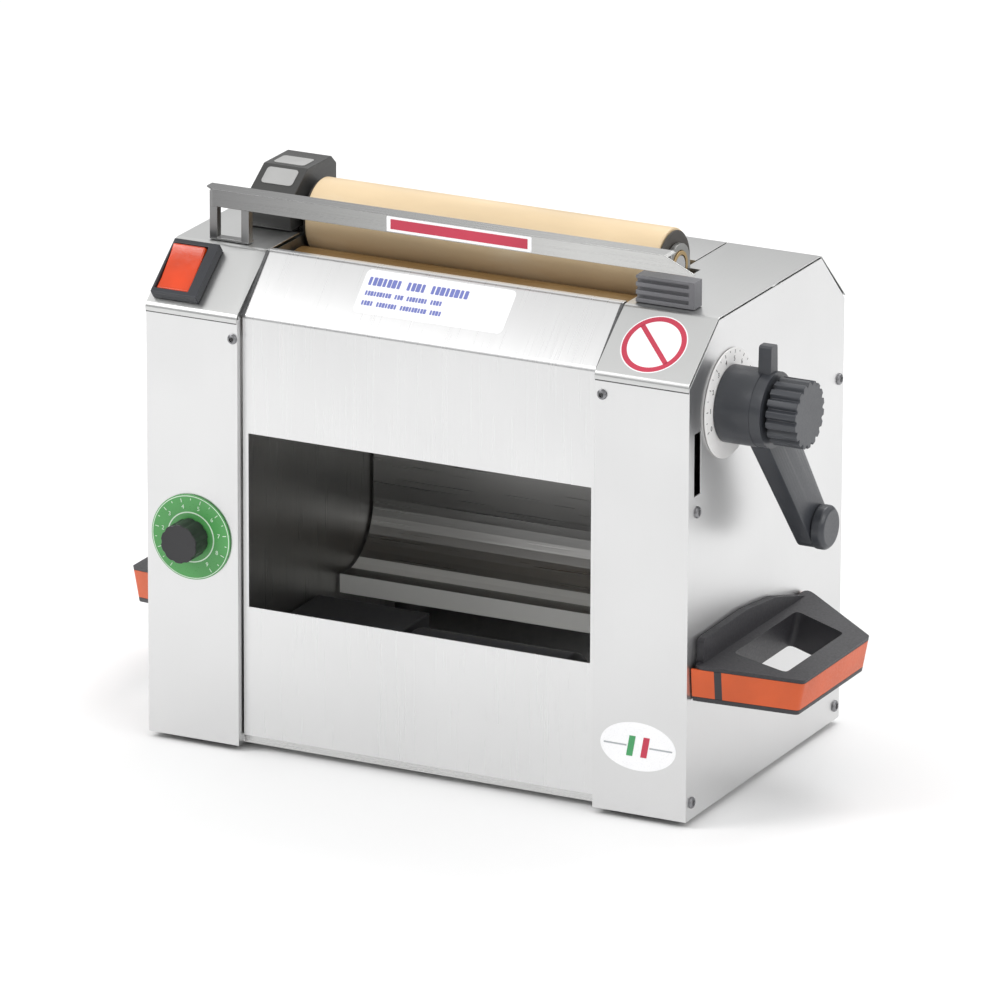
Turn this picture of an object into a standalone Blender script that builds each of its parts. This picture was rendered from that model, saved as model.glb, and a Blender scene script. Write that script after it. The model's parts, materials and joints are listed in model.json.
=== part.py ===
"""Bench-top electric pasta sheeter: two resin rollers in a folded stainless-steel casing."""

import math

import bmesh
import bpy
from mathutils import Matrix, Vector

# ---------------------------------------------------------------- driving dimensions (metres)
CASE_WIDTH = 0.480          # over the two side panels
CASE_DEPTH = 0.287          # front face to rear face
FOLD_HEIGHT = 0.360         # where the front face folds into the slope
TOP_HEIGHT = 0.402          # flat top of the casing
SLOPE_DEPTH = 0.052         # how far back the slope reaches
CHAMFER_DEPTH = 0.046       # rear chamfer, measured back to front
CHAMFER_HEIGHT = 0.358      # where the chamfer meets the rear face
COLUMN_INNER_X = 0.158      # inner edge of each side column
PANEL_RECESS = 0.007        # front panel set back between the columns
SHEET = 0.0015              # folded sheet thickness
GAP = 0.0004                # air between touching pieces
FOOT_HEIGHT = 0.005
SIDES = (("left", -1), ("right", 1))

ROLLER_RADIUS = 0.031
ROLLER_HALF_LENGTH = 0.1555
ROLLER_NIP = 0.001          # air between the rollers in the thinnest setting
SHAFT_RADIUS = 0.010
BUSH_RADIUS = 0.0140
REAR_AXIS = Vector((0.0, 0.1415, 0.408))
CENTRES_ANGLE = math.radians(48.0)      # slope of the line through all three axes
CENTRES_DIR = Vector((0.0, -math.cos(CENTRES_ANGLE), -math.sin(CENTRES_ANGLE)))
FRONT_AXIS = REAR_AXIS + CENTRES_DIR * (2 * ROLLER_RADIUS + ROLLER_NIP)
LEVER_AXIS = REAR_AXIS + CENTRES_DIR * 0.108
CARRIAGE_TRAVEL = 0.005
LEVER_SWEEP = math.radians(120.0)
LEVER_SHAFT_RADIUS = 0.0065

PLATE_X = 0.1585            # inner face of each bearing plate
PLATE_THICKNESS = 0.004
LOBE_RADIUS = 0.0195        # of each plate about the rear bush
BLOCK_HALF_LENGTH = 0.020   # slide block, along the line of centres
BLOCK_HALF_WIDTH = 0.018
BLOCK_OUTER_X = 0.170
GEAR_X = (-0.181, -0.171)
GEAR_TEETH = 14
GEAR_ROOT = 0.0275
GEAR_TIP = 0.0348
SPROCKET_X = (-0.189, -0.184)
MOTOR_AXIS = Vector((0.0, 0.100, 0.050))
MOTOR_RADIUS = 0.036
MOTOR_SHAFT_RADIUS = 0.008
MOTOR_X = (-0.055, 0.095)        # can, from the gear case to its end cover
DRIVE_RADIUS = 0.0165       # chain sprockets
DRIVEN_RADIUS = 0.0275

LAP = 0.0012                # the column caps stand this far proud of the faces below them
SLOPE_FOOT = Vector((-LAP, FOLD_HEIGHT + 0.0006))
SLOPE_TOP = Vector((SLOPE_DEPTH - 0.0005, TOP_HEIGHT))
WINDOW_HALF_WIDTH = 0.152   # outlet window in the front panel
WINDOW_BOTTOM = 0.117
WINDOW_TOP = 0.2625
TRAY_HALF_WIDTH = 0.2362
CHUTE_BACK = 0.2330          # depth of the chute's upright back
CHUTE_LIP = (0.1730, 0.0950)    # its front edge, before the down-turned flange
CHUTE_FLANGE = 0.0160

HUB_RADIUS = 0.031
HUB_X = (0.2425, 0.2725)    # hub along its axis
COLLAR_X = 0.2820           # outer face of the hub's collar
ARM_ROOT = (0.2600, 0.2770, 0.0210)     # arm at the axis: inner face, outer face, half width
ARM_END = (0.2765, 0.2900, 0.0172)      # and at the grip
LEVER_LEAN = math.radians(30.0)         # the arm's lean to the rear, from straight down
LEVER_LENGTH = 0.131
GRIP_X = (0.2904, 0.3010)
GRIP_RADIUS = 0.018
SCALE_RADIUS = 0.044
KNOB_X = (0.2850, 0.3110)
KNOB_FLUTES = 18

DIAL_CENTRE = (-0.1997, 0.171)      # across and up
DIAL_RADIUS = 0.0355
SPEED_KNOB_RADIUS = 0.0162
SWITCH_X = (-0.2355, -0.1945)       # rocker switch collar, over its flange
SWITCH_ALONG = (0.0065, 0.0600)     # from the fold up the slope
ROCKER_X = (-0.2330, -0.2040)
ROCKER_TILT = math.radians(7.0)
ROCKER_PIVOT_HEIGHT = 0.0045
GLAND_CENTRE = (-0.190, 0.045)
GLAND_REACH = 0.023         # as far behind the casing as the speed knob stands in front of it

STRIP_Y = 0.055             # finger guard strip over the feed side
STRIP_Z = (0.4305, 0.4450)
GUARD_BLOCK = (Vector((0.1640, 0.0590, TOP_HEIGHT + GAP)), Vector((0.2150, 0.0735, 0.4245)))

HANDLE_BOTTOM = 0.100       # right handle, at the panel
HANDLE_HEIGHT = 0.030
HANDLE_REACH = 0.074
HANDLE_TILT = math.radians(11.0)
HANDLE_SPAN = (0.0075, 0.2160)
HANDLE_BAR = 0.018          # width of the grip
HOLE_START = 0.0095         # the finger hole, from the panel outward
HOLE_MARGIN = 0.046         # and from each end of the loop, at the panel
HANDLE_FLARE = 0.043        # how far each end draws in on its way out
LEFT_HANDLE_SET_BACK = 0.0665
LEFT_HANDLE_DROP = 0.022


# ---------------------------------------------------------------- scene and materials
for old in list(bpy.data.objects):
    bpy.data.objects.remove(old, do_unlink=True)

CASING = bpy.data.objects.new("casing_datum", None)
CASING.location = (0.0, -CASE_DEPTH / 2, FOOT_HEIGHT)
bpy.context.scene.collection.objects.link(CASING)

FINISHES = {
    "stainless_sheet": ((0.82, 0.82, 0.81), 0.28, 1.0),
    "plate_steel": ((0.55, 0.56, 0.57), 0.40, 1.0),
    "ground_steel": ((0.72, 0.72, 0.73), 0.25, 1.0),
    "bronze": ((0.62, 0.45, 0.22), 0.40, 1.0),
    "roller_resin": ((0.93, 0.86, 0.72), 0.38, 0.0),
    "scraper_plastic": ((0.90, 0.89, 0.84), 0.45, 0.0),
    "gear_steel": ((0.45, 0.45, 0.46), 0.35, 1.0),
    "cast_aluminium": ((0.62, 0.63, 0.64), 0.50, 1.0),
    "black_plastic": ((0.035, 0.035, 0.038), 0.50, 0.0),
    "lever_plastic": ((0.075, 0.080, 0.090), 0.48, 0.0),
    "grey_plastic": ((0.30, 0.30, 0.32), 0.50, 0.0),
    "orange_plastic": ((0.85, 0.22, 0.04), 0.40, 0.0),
    "rocker_orange": ((0.90, 0.15, 0.02), 0.20, 0.0),
    "dial_green": ((0.10, 0.42, 0.12), 0.35, 0.0),
    "scale_white": ((0.90, 0.88, 0.87), 0.40, 0.0),
    "rubber": ((0.03, 0.03, 0.03), 0.80, 0.0),
}


def finish(name):
    material = bpy.data.materials.get(name)
    if material is None:
        colour, roughness, metallic = FINISHES[name]
        material = bpy.data.materials.new(name)
        material.use_nodes = True
        shader = material.node_tree.nodes["Principled BSDF"]
        shader.inputs["Base Color"].default_value = (*colour, 1.0)
        shader.inputs["Roughness"].default_value = roughness
        shader.inputs["Metallic"].default_value = metallic
    return material


# ---------------------------------------------------------------- modelling helpers
# Every shape is drawn in casing coordinates: x across, y back from the front face, z up from
# the casing's bottom. A piece's origin is moved to its own axis or reference point at the end.
def place(mesh, name, material, origin=(0.0, 0.0, 0.0), smooth=False):
    """Make the object that carries a mesh, with its origin at the given casing point."""
    mesh.transform(Matrix.Translation(-Vector(origin)))
    mesh.name = name
    mesh.materials.clear()
    mesh.materials.append(finish(material))
    if smooth:
        mesh.shade_smooth()
        mesh.set_sharp_from_angle(angle=math.radians(35))
    piece = bpy.data.objects.new(name, mesh)
    piece.location = origin
    piece.parent = CASING
    bpy.context.scene.collection.objects.link(piece)
    return piece


def to_mesh(bm):
    bmesh.ops.recalc_face_normals(bm, faces=bm.faces)
    mesh = bpy.data.meshes.new("shape")
    bm.to_mesh(mesh)
    bm.free()
    return mesh


def prism(outline, low, high, axis="x"):
    """Extrude a closed outline. Its points are (y, z) for x, (x, y) for z and (x, z) for y."""
    order = {"x": lambda a, b, t: (t, a, b), "y": lambda a, b, t: (a, t, b), "z": lambda a, b, t: (a, b, t)}
    put = order[axis]
    bm = bmesh.new()
    lower = [bm.verts.new(put(a, b, low)) for a, b in outline]
    upper = [bm.verts.new(put(a, b, high)) for a, b in outline]
    bm.faces.new(lower)
    bm.faces.new(reversed(upper))
    count = len(outline)
    for i in range(count):
        j = (i + 1) % count
        bm.faces.new((lower[i], lower[j], upper[j], upper[i]))
    return to_mesh(bm)


def block(low, high):
    outline = [(low[0], low[1]), (high[0], low[1]), (high[0], high[1]), (low[0], high[1])]
    return prism(outline, low[2], high[2], "z")


def circle(centre, radius, steps=48, start=0.0):
    angles = [start + 2 * math.pi * i / steps for i in range(steps)]
    return [(centre[0] + radius * math.cos(a), centre[1] + radius * math.sin(a)) for a in angles]


def arc(centre, radius, first, last, steps):
    """Points on an arc, angles in degrees, both ends included."""
    angles = [math.radians(first + (last - first) * i / steps) for i in range(steps + 1)]
    return [(centre[0] + radius * math.cos(a), centre[1] + radius * math.sin(a)) for a in angles]


def rounded(points, radius, steps=4):
    """Round every corner of a closed outline with an arc of about the given radius."""
    result = []
    count = len(points)
    for i in range(count):
        here = Vector(points[i])
        before = (Vector(points[i - 1]) - here).normalized()
        after = (Vector(points[(i + 1) % count]) - here).normalized()
        half = before.angle(after) / 2
        reach = radius / math.tan(half)
        start, end = here + before * reach, here + after * reach
        for s in range(steps + 1):
            t = s / steps
            point = start * (1 - t) ** 2 + here * 2 * t * (1 - t) + end * t ** 2
            result.append(tuple(point))
    return result


def offset_path(path, distance):
    """Shift an open path sideways, with mitred corners."""
    shifted = []
    for i, point in enumerate(path):
        here = Vector(point)
        sides = []
        if i > 0:
            step = (here - Vector(path[i - 1])).normalized()
            sides.append(Vector((-step.y, step.x)))
        if i < len(path) - 1:
            step = (Vector(path[i + 1]) - here).normalized()
            sides.append(Vector((-step.y, step.x)))
        normal = sum(sides, Vector((0.0, 0.0))).normalized()
        shifted.append(tuple(here + normal * distance / normal.dot(sides[0])))
    return shifted


def sheet_outline(path, thickness=SHEET):
    """The closed outline of a folded sheet: the path is one face, thickness to its left."""
    return list(path) + list(reversed(offset_path(path, thickness)))


def centre_yz(point):
    return (point[1], point[2])


def rod(axis_point, radius, low, high, steps=48):
    return prism(circle(centre_yz(axis_point), radius, steps), low, high, "x")


def turned(axis_point, profile, steps=48):
    """A closed profile of (x, radius) points turned about an x-wise axis."""
    bm = bmesh.new()
    rings = []
    for i in range(steps):
        a = 2 * math.pi * i / steps
        ring = [bm.verts.new((x, axis_point[1] + r * math.cos(a), axis_point[2] + r * math.sin(a)))
                for x, r in profile]
        rings.append(ring)
    count = len(profile)
    for i in range(steps):
        a, b = rings[i], rings[(i + 1) % steps]
        for j in range(count):
            k = (j + 1) % count
            bm.faces.new((a[j], a[k], b[k], b[j]))
    return to_mesh(bm)


def solid_turned(axis_point, profile, steps=48):
    """A turned solid whose profile starts and ends on the axis."""
    bm = bmesh.new()
    rings = [[bm.verts.new((x, axis_point[1] + r * math.cos(2 * math.pi * i / steps),
                            axis_point[2] + r * math.sin(2 * math.pi * i / steps))) for i in range(steps)]
             for x, r in profile[1:-1]]
    for a, b in zip(rings, rings[1:]):
        for i in range(steps):
            j = (i + 1) % steps
            bm.faces.new((a[i], a[j], b[j], b[i]))
    bm.faces.new(rings[0])
    bm.faces.new(reversed(rings[-1]))
    return to_mesh(bm)


def boolean(mesh, other, operation):
    """One mesh cut by or joined to another, with the exact solver."""
    body = bpy.data.objects.new("boolean_body", mesh)
    tool = bpy.data.objects.new("boolean_tool", other)
    for item in (body, tool):
        bpy.context.scene.collection.objects.link(item)
    step = body.modifiers.new("boolean", "BOOLEAN")
    step.operation = operation
    step.solver = "EXACT"
    step.object = tool
    depsgraph = bpy.context.evaluated_depsgraph_get()
    result = bpy.data.meshes.new_from_object(body.evaluated_get(depsgraph))
    for item in (body, tool):
        bpy.data.objects.remove(item, do_unlink=True)
    return result


def cut(mesh, *others):
    for other in others:
        mesh = boolean(mesh, other, "DIFFERENCE")
    return mesh


def join(mesh, *others):
    for other in others:
        mesh = boolean(mesh, other, "UNION")
    return mesh


def along(axis_point, ahead, aside):
    """A (y, z) point given along and across the line of centres from one of the axes."""
    across = Vector((0.0, CENTRES_DIR.z, -CENTRES_DIR.y))
    return centre_yz(Vector(axis_point) + CENTRES_DIR * ahead + across * aside)


def mirrored(low, high, side):
    """An x range on the right (+1) or the left (-1)."""
    return (low, high) if side > 0 else (-high, -low)


# ---------------------------------------------------------------- casing
def slope_frame(distance, height):
    """A (y, z) point at a distance up the columns' slope and a height off it."""
    rise = (SLOPE_TOP - SLOPE_FOOT).normalized()
    return tuple(SLOPE_FOOT + rise * distance + Vector((-rise.y, rise.x)) * height)


def make_base_tray():
    half, front, rear = TRAY_HALF_WIDTH, 0.0115, CASE_DEPTH - 0.004
    tray = block((-half, front, 0.0), (half, rear, 0.0075))
    hollow = block((-half + SHEET, front + SHEET, SHEET), (half - SHEET, rear - SHEET, 0.02))
    return place(cut(tray, hollow), "base_tray", "stainless_sheet")


def make_feet():
    spots = {"front_left": (-0.205, 0.030), "front_right": (0.205, 0.030),
             "rear_left": (-0.205, 0.257), "rear_right": (0.205, 0.257)}
    for name, spot in spots.items():
        foot = prism(circle(spot, 0.014, 32), -FOOT_HEIGHT, -GAP, "z")
        place(foot, "foot_" + name, "rubber", (spot[0], spot[1], 0.0), smooth=True)


def make_bearing_plate(name, side):
    """Steel plate that carries the rear bush, the slide way and the lever shaft."""
    low_x, high_x = mirrored(PLATE_X, PLATE_X + PLATE_THICKNESS, side)
    lobe = arc(centre_yz(REAR_AXIS), LOBE_RADIUS, 180, 0, 14)
    front, rear, bottom, shoulder = 0.012, 0.275, 0.0155, 0.352
    outline = [(front, bottom), (rear, bottom), (rear, shoulder), (0.232, 0.392), (lobe[-1][0], 0.392)]
    outline += list(reversed(lobe)) + [(lobe[0][0], 0.398), (0.060, 0.398), (front, shoulder)]
    plate = prism(outline, low_x, high_x, "x")
    back, ahead = -BLOCK_HALF_LENGTH - GAP, BLOCK_HALF_LENGTH + CARRIAGE_TRAVEL + GAP
    half = BLOCK_HALF_WIDTH + GAP
    way = [along(FRONT_AXIS, s, w) for s, w in ((back, -half), (ahead, -half), (ahead, half), (back, half))]
    reach = (low_x - 0.01, high_x + 0.01)
    cutters = [
        prism(way, *reach, "x"),
        rod(REAR_AXIS, BUSH_RADIUS, *reach),
        rod(LEVER_AXIS, LEVER_SHAFT_RADIUS + 0.0005, *reach),
    ]
    if side < 0:
        cutters.append(rod(MOTOR_AXIS, 0.013, *reach))
    return place(cut(plate, *cutters), name, "plate_steel")


def make_front_panel():
    """Folded sheet between the columns: bottom lip, front with the outlet window, slope and top lip."""
    path = [(0.020, 0.008), (PANEL_RECESS, 0.008), (PANEL_RECESS, FOLD_HEIGHT), (0.0515, 0.4025),
            (0.0580, 0.4025), (0.0600, 0.3960)]
    outline = sheet_outline(path, -SHEET)
    width = COLUMN_INNER_X - 0.0012
    panel = prism(outline, -width, width, "x")
    window = block((-WINDOW_HALF_WIDTH, 0.0, WINDOW_BOTTOM), (WINDOW_HALF_WIDTH, 0.015, WINDOW_TOP))
    return place(cut(panel, window), "front_panel", "stainless_sheet")


def make_side_shell(name, side):
    """Side panel and column front folded from one sheet."""
    inset = 0.0022
    low_x, high_x = mirrored(CASE_WIDTH / 2 - SHEET, CASE_WIDTH / 2, side)
    outline = [(0.0, 0.0), (CASE_DEPTH - 0.002, 0.0), (CASE_DEPTH - 0.002, CHAMFER_HEIGHT - inset),
               (CASE_DEPTH - CHAMFER_DEPTH, TOP_HEIGHT - inset), (SLOPE_DEPTH + 0.001, TOP_HEIGHT - inset),
               (0.0, FOLD_HEIGHT - inset)]
    panel = prism(outline, low_x, high_x, "x")
    front_x = mirrored(COLUMN_INNER_X, CASE_WIDTH / 2 - SHEET / 2, side)
    front = block((front_x[0], 0.0, 0.0), (front_x[1], SHEET, FOLD_HEIGHT - inset))
    return_x = mirrored(COLUMN_INNER_X, COLUMN_INNER_X + 0.0012, side)
    edge = block((return_x[0], 0.0005, 0.0), (return_x[1], 0.010, FOLD_HEIGHT - inset))
    shell = join(panel, front, edge)
    if side > 0:
        slot = block((high_x - 0.01, 0.010, 0.267), (high_x + 0.01, 0.0215, 0.318))
        shell = cut(shell, rod(LEVER_AXIS, LEVER_SHAFT_RADIUS + 0.001, high_x - 0.01, high_x + 0.01), slot)
    else:
        shaft_hole = prism(circle((DIAL_CENTRE[0], DIAL_CENTRE[1]), 0.005, 24), -0.01, 0.01, "y")
        shell = cut(shell, shaft_hole)
    return place(shell, name, "stainless_sheet")


def cap_path():
    return [(-LAP, FOLD_HEIGHT - 0.005), tuple(SLOPE_FOOT), tuple(SLOPE_TOP),
            (CASE_DEPTH - CHAMFER_DEPTH, TOP_HEIGHT), (CASE_DEPTH + 0.001, CHAMFER_HEIGHT - 0.001)]


def make_top_cap(name, side):
    """Slope, top and rear chamfer of one column, folded from one strip."""
    thickness = 0.0010
    low_x, high_x = mirrored(COLUMN_INNER_X, CASE_WIDTH / 2, side)
    cap = prism(sheet_outline(cap_path(), -thickness), low_x, high_x, "x")
    notch_x = mirrored(COLUMN_INNER_X - 0.002, BLOCK_OUTER_X + 0.001, side)
    reach = LOBE_RADIUS + 0.001
    cap = cut(cap, block((notch_x[0], REAR_AXIS.y - reach, 0.39), (notch_x[1], REAR_AXIS.y + reach, 0.41)))
    if side < 0:
        gears = block((-0.201, 0.106, 0.39), (-0.1, 0.180, 0.41))
        switch = switch_prism(-0.0005, -0.010, 0.010)
        cap = cut(cap, gears, switch)
    return place(cap, name, "stainless_sheet")


def switch_prism(margin, low, high, ends=SWITCH_ALONG, sides=SWITCH_X):
    """A box on the slope, grown by a margin all round, between two heights off the sheet."""
    first, last = ends[0] - margin, ends[1] + margin
    outline = [slope_frame(first, low), slope_frame(last, low), slope_frame(last, high),
               slope_frame(first, high)]
    return prism(outline, sides[0] - margin, sides[1] + margin, "x")


def make_rear_panel():
    """Rear sheet with cooling louvre slots and the cable gland hole."""
    half = CASE_WIDTH / 2 - 0.0004
    panel = block((-half, CASE_DEPTH - SHEET, 0.0), (half, CASE_DEPTH, CHAMFER_HEIGHT - 0.003))
    slots = []
    for level in range(6):
        z = 0.055 + 0.016 * level
        for x in (-0.064, 0.009):
            slots.append(block((x, CASE_DEPTH - 0.01, z), (x + 0.055, CASE_DEPTH + 0.01, z + 0.006)))
    gland = prism(circle(GLAND_CENTRE, 0.0085, 24), CASE_DEPTH - 0.01, CASE_DEPTH + 0.01, "y")
    return place(cut(panel, gland, *slots), "rear_panel", "stainless_sheet")


def make_rear_hood():
    """Top and chamfer behind the rollers, with a down-turned front lip."""
    path = [(0.1830, 0.390), (0.1830, TOP_HEIGHT), (CASE_DEPTH - CHAMFER_DEPTH, TOP_HEIGHT),
            (CASE_DEPTH + 0.001, CHAMFER_HEIGHT - 0.001)]
    half = COLUMN_INNER_X - 0.0012
    hood = prism(sheet_outline(path, -0.0010), -half, half, "x")
    return place(hood, "rear_hood", "stainless_sheet")


def make_exit_chute():
    """Catches the sheet of dough below the rollers: a back that curves forward to a down-turned lip."""
    bend, (lip_y, lip_z) = 0.050, CHUTE_LIP
    curve = arc((CHUTE_BACK - bend, lip_z + bend * 0.96), bend, 0, -78, 9)
    path = [(CHUTE_BACK, 0.382)] + curve + [(lip_y, lip_z), (lip_y, lip_z - CHUTE_FLANGE)]
    chute = prism(sheet_outline(path, 0.0012), -0.1565, 0.1565, "x")
    return place(chute, "exit_chute", "stainless_sheet")


# ---------------------------------------------------------------- rollers and their drive
def make_roller(name, axis_point):
    half = ROLLER_HALF_LENGTH
    inner = SHAFT_RADIUS + GAP
    edge = 0.0015
    profile = [(-half, inner), (-half, ROLLER_RADIUS - edge), (-half + edge, ROLLER_RADIUS),
               (half - edge, ROLLER_RADIUS), (half, ROLLER_RADIUS - edge), (half, inner)]
    return place(turned(axis_point, profile, 64), name, "roller_resin", axis_point, smooth=True)


def make_shaft(name, axis_point, low, high):
    return place(rod(axis_point, SHAFT_RADIUS, low, high, 32), name, "ground_steel", axis_point, smooth=True)


def make_bush(name, axis_point, side, low, high):
    low_x, high_x = mirrored(low, high, side)
    inner, outer = SHAFT_RADIUS + GAP, BUSH_RADIUS - GAP
    profile = [(low_x, inner), (low_x, outer), (high_x, outer), (high_x, inner)]
    return place(turned(axis_point, profile, 32), name, "bronze", axis_point, smooth=True)


def make_slide_block(name, side):
    """Carries one bush of the front roller along the slide way."""
    low_x, high_x = mirrored(0.1580, BLOCK_OUTER_X, side)
    ends = ((-BLOCK_HALF_LENGTH, -BLOCK_HALF_WIDTH), (BLOCK_HALF_LENGTH, -BLOCK_HALF_WIDTH),
            (BLOCK_HALF_LENGTH, BLOCK_HALF_WIDTH), (-BLOCK_HALF_LENGTH, BLOCK_HALF_WIDTH))
    body = prism([along(FRONT_AXIS, s, w) for s, w in ends], low_x, high_x, "x")
    body = cut(body, rod(FRONT_AXIS, BUSH_RADIUS, low_x - 0.01, high_x + 0.01))
    return place(body, name, "cast_aluminium", FRONT_AXIS)


def gear_outline(axis_point, teeth, root, tip, first_tooth):
    """Straight-sided teeth, slimmer than their gaps so that they stay free as the rollers part."""
    pitch = 2 * math.pi / teeth
    points = []
    for i in range(teeth):
        middle = first_tooth + i * pitch
        for radius, half in ((root, 0.30), (tip, 0.10)):
            points.append((radius, middle - half * pitch))
        for radius, half in ((tip, 0.10), (root, 0.30)):
            points.append((radius, middle + half * pitch))
    return [(axis_point[1] + r * math.cos(a), axis_point[2] + r * math.sin(a)) for r, a in points]


def make_gear(name, axis_point, low, high, teeth, root, tip, first_tooth, bore, material):
    wheel = prism(gear_outline(axis_point, teeth, root, tip, first_tooth), low, high, "x")
    wheel = cut(wheel, rod(axis_point, bore + GAP, low - 0.01, high + 0.01, 32))
    return place(wheel, name, material, axis_point)


def make_roller_gears():
    """Deep teeth on the same centre distance as the rollers: one tooth of the rear gear points ahead."""
    ahead = math.atan2(CENTRES_DIR.z, CENTRES_DIR.y)
    half_pitch = math.pi / GEAR_TEETH
    sizes = (GEAR_TEETH, GEAR_ROOT, GEAR_TIP)
    make_gear("roller_gear_rear", REAR_AXIS, *GEAR_X, *sizes, ahead, SHAFT_RADIUS, "gear_steel")
    make_gear("roller_gear_front", FRONT_AXIS, *GEAR_X, *sizes, ahead + math.pi + half_pitch,
              SHAFT_RADIUS, "gear_steel")


def make_sprockets():
    make_gear("sprocket_driven", REAR_AXIS, *SPROCKET_X, 20, DRIVEN_RADIUS - 0.003, DRIVEN_RADIUS, 0.0,
              SHAFT_RADIUS, "gear_steel")
    make_gear("sprocket_drive", MOTOR_AXIS, *SPROCKET_X, 12, DRIVE_RADIUS - 0.003, DRIVE_RADIUS, 0.0,
              MOTOR_SHAFT_RADIUS, "gear_steel")


def loop_outline(low_centre, low_radius, high_centre, high_radius, steps=20):
    """Outline of a belt round two circles, the second above the first."""
    low_c, high_c = Vector(centre_yz(low_centre)), Vector(centre_yz(high_centre))
    run = high_c - low_c
    heading = math.degrees(math.atan2(run.y, run.x))
    lean = math.degrees(math.acos((low_radius - high_radius) / run.length))
    upper = arc(high_c, high_radius, heading - lean, heading + lean, steps)
    lower = arc(low_c, low_radius, heading + lean, heading + 360 - lean, steps)
    return upper + lower


def make_chain():
    clearance, thickness = 0.0006, 0.0045
    inner = loop_outline(MOTOR_AXIS, DRIVE_RADIUS + clearance, REAR_AXIS, DRIVEN_RADIUS + clearance)
    outer = loop_outline(MOTOR_AXIS, DRIVE_RADIUS + clearance + thickness, REAR_AXIS,
                         DRIVEN_RADIUS + clearance + thickness)
    loop = cut(prism(outer, *SPROCKET_X, "x"), prism(inner, SPROCKET_X[0] - 0.01, SPROCKET_X[1] + 0.01, "x"))
    return place(loop, "drive_chain", "gear_steel")


def make_motor():
    """Gear motor lying across the base: flanged can, gear case and output shaft."""
    (left, right), bevel = MOTOR_X, 0.005
    rim = MOTOR_RADIUS - bevel
    can = [(left, 0.0), (left, rim), (left + bevel, MOTOR_RADIUS), (right - bevel, MOTOR_RADIUS),
           (right, rim), (right, 0.0)]
    place(solid_turned(MOTOR_AXIS, can), "motor", "cast_aluminium", MOTOR_AXIS, smooth=True)
    y, z = centre_yz(MOTOR_AXIS)
    half = MOTOR_RADIUS + 0.0015
    case = block((-0.1575, y - half, z - half), (left - 0.0006, y + half, z + half))
    case = cut(case, rod(MOTOR_AXIS, MOTOR_SHAFT_RADIUS + 0.0006, -0.17, -0.10, 32))
    place(case, "gear_case", "cast_aluminium")
    place(rod(MOTOR_AXIS, MOTOR_SHAFT_RADIUS, -0.192, -0.101, 32), "motor_shaft", "ground_steel", MOTOR_AXIS,
          smooth=True)


def make_scrapers():
    """Plastic blades on the outlet side of the rollers, each on a cross rod in the bearing plates."""
    for name, axis_point, aim in (("scraper_rear", REAR_AXIS, -72.0), ("scraper_front", FRONT_AXIS, -38.0)):
        tip = arc(centre_yz(axis_point), ROLLER_RADIUS + GAP, aim, aim, 1)[0]
        root = arc(centre_yz(axis_point), ROLLER_RADIUS + 0.020, aim, aim, 1)[0]
        out = Vector((root[0] - tip[0], root[1] - tip[1])).normalized()
        aside = Vector((-out.y, out.x))
        outline = [tuple(Vector(tip) + aside * 0.0008), tuple(Vector(root) + aside * 0.004),
                   tuple(Vector(root) - aside * 0.004), tuple(Vector(tip) - aside * 0.0008)]
        place(prism(outline, -0.1545, 0.1545, "x"), name, "scraper_plastic")
        centre = Vector(root) + out * 0.0048
        spot = (0.0, centre.x, centre.y)
        place(rod(spot, 0.004, -0.1580, 0.1580, 24), name + "_rod", "ground_steel", spot, smooth=True)


# ---------------------------------------------------------------- thickness control
def make_cam(name, side):
    """Snail cam: its radius falls evenly over the lever's sweep, so the gap grows evenly."""
    waist, hold, fall = 0.0085, 15.0, 45.0      # relief behind the lobe, and the angles it takes
    full = (LEVER_AXIS - FRONT_AXIS).length - BLOCK_HALF_LENGTH - 0.0008
    start = math.degrees(math.atan2(-CENTRES_DIR.z, -CENTRES_DIR.y))
    sweep = math.degrees(LEVER_SWEEP)
    points = []
    for i in range(72):
        turn = 5.0 * i
        if turn <= hold:
            radius = full
        elif turn <= hold + fall:
            radius = full - waist * (turn - hold) / fall
        elif turn <= 360.0 - sweep - hold:
            rise = (turn - hold - fall) / (360.0 - sweep - 2 * hold - fall)
            radius = full - waist + (waist - CARRIAGE_TRAVEL - 0.0003) * rise
        else:
            radius = full - CARRIAGE_TRAVEL * min(1.0, (360.0 - turn) / sweep)
        angle = math.radians(start + turn)
        points.append((LEVER_AXIS.y + radius * math.cos(angle), LEVER_AXIS.z + radius * math.sin(angle)))
    low_x, high_x = mirrored(0.1632, 0.1692, side)
    cam = cut(prism(points, low_x, high_x, "x"),
              rod(LEVER_AXIS, LEVER_SHAFT_RADIUS + GAP, low_x - 0.01, high_x + 0.01, 32))
    return place(cam, name, "gear_steel", LEVER_AXIS)


def cranked_arm(centre, end):
    """A tapered arm that runs outward from the hub to the grip."""
    bm = bmesh.new()
    for (low_x, high_x, half), spot in ((ARM_ROOT, centre), (ARM_END, end)):
        for x in (low_x, high_x):
            for y, z in circle(spot, half, 32):
                bm.verts.new((x, y, z))
    hull = bmesh.ops.convex_hull(bm, input=bm.verts)
    bmesh.ops.delete(bm, geom=hull["geom_interior"], context="VERTS")
    return to_mesh(bm)


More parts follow.
